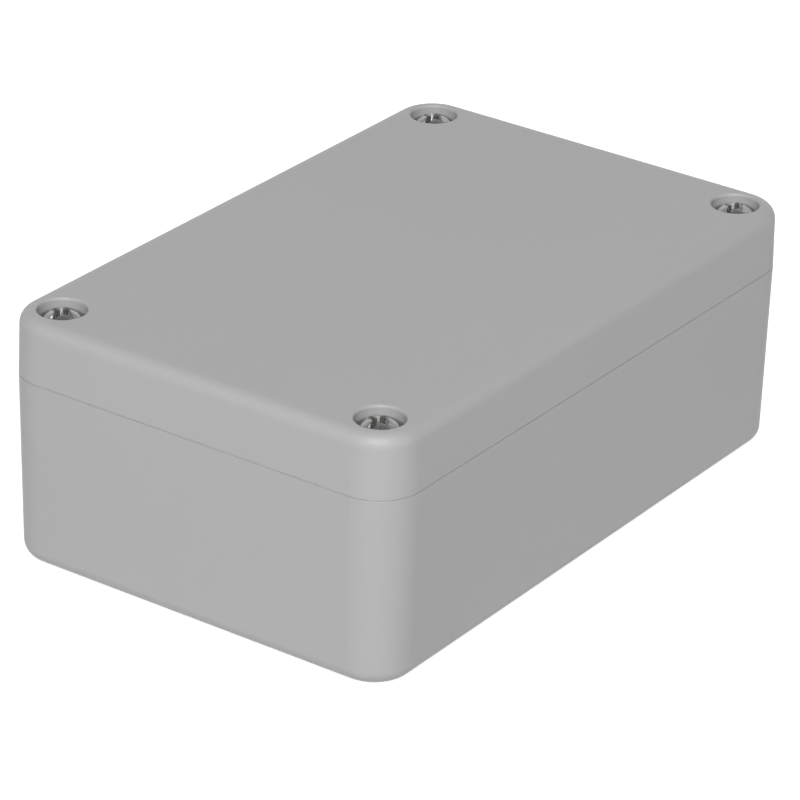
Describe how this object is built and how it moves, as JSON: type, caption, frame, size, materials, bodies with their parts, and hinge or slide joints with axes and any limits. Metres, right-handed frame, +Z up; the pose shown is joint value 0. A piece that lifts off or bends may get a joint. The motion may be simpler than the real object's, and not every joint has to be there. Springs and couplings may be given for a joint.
{
  "type": "plastic project box",
  "caption": "Sealed rectangular plastic enclosure with rounded drafted walls and a lid held by recessed corner screws.",
  "frame": {"origin": "centre of the flat underside, on the surface that the box stands on", "axes": "+X along the length, +Y along the width, +Z up through the lid"},
  "size_m": [0.098, 0.064, 0.0365],
  "materials": {
    "plastic": "light grey moulded plastic with a fine matte texture",
    "gasket_rubber": "black foam rubber cord",
    "screw_steel": "bright plated steel",
    "ring_steel": "dark spring steel",
    "brass": "turned brass"
  },
  "bodies": {
    "base": {"base": "plastic", "threaded_insert_1": "brass", "threaded_insert_2": "brass", "threaded_insert_3": "brass", "threaded_insert_4": "brass"},
    "lid": {"lid": "plastic", "gasket": "gasket_rubber"},
    "ring_1": {"retaining_ring_1": "ring_steel"},
    "screw_1": {"lid_screw_1": "screw_steel"},
    "ring_2": {"retaining_ring_2": "ring_steel"},
    "screw_2": {"lid_screw_2": "screw_steel"},
    "ring_3": {"retaining_ring_3": "ring_steel"},
    "screw_3": {"lid_screw_3": "screw_steel"},
    "ring_4": {"retaining_ring_4": "ring_steel"},
    "screw_4": {"lid_screw_4": "screw_steel"}
  },
  "joints": [
    {"name": "lid_lift", "type": "slide", "parent": "base", "child": "lid", "axis": [0, 0, 1], "range_m": [0, 0.05]},
    {"name": "ring_1_rise", "type": "slide", "parent": "lid", "child": "ring_1", "axis": [0, 0, 1], "range_m": [0, 0.0056]},
    {"name": "screw_1_turn", "type": "hinge", "parent": "ring_1", "child": "screw_1", "pos_m": [-0.043, -0.026, 0.0325], "axis": [0, 0, 1], "range_deg": [0, 2880]},
    {"name": "ring_2_rise", "type": "slide", "parent": "lid", "child": "ring_2", "axis": [0, 0, 1], "range_m": [0, 0.0056]},
    {"name": "screw_2_turn", "type": "hinge", "parent": "ring_2", "child": "screw_2", "pos_m": [0.043, -0.026, 0.0325], "axis": [0, 0, 1], "range_deg": [0, 2880]},
    {"name": "ring_3_rise", "type": "slide", "parent": "lid", "child": "ring_3", "axis": [0, 0, 1], "range_m": [0, 0.0056]},
    {"name": "screw_3_turn", "type": "hinge", "parent": "ring_3", "child": "screw_3", "pos_m": [0.043, 0.026, 0.0325], "axis": [0, 0, 1], "range_deg": [0, 2880]},
    {"name": "ring_4_rise", "type": "slide", "parent": "lid", "child": "ring_4", "axis": [0, 0, 1], "range_m": [0, 0.0056]},
    {"name": "screw_4_turn", "type": "hinge", "parent": "ring_4", "child": "screw_4", "pos_m": [-0.043, 0.026, 0.0325], "axis": [0, 0, 1], "range_deg": [0, 2880]}
  ],
  "couplings": [
    {"joint": "screw_1_turn", "follows": "ring_1_rise", "rad_per_m": 8976},
    {"joint": "screw_2_turn", "follows": "ring_2_rise", "rad_per_m": 8976},
    {"joint": "screw_3_turn", "follows": "ring_3_rise", "rad_per_m": 8976},
    {"joint": "screw_4_turn", "follows": "ring_4_rise", "rad_per_m": 8976}
  ]
}
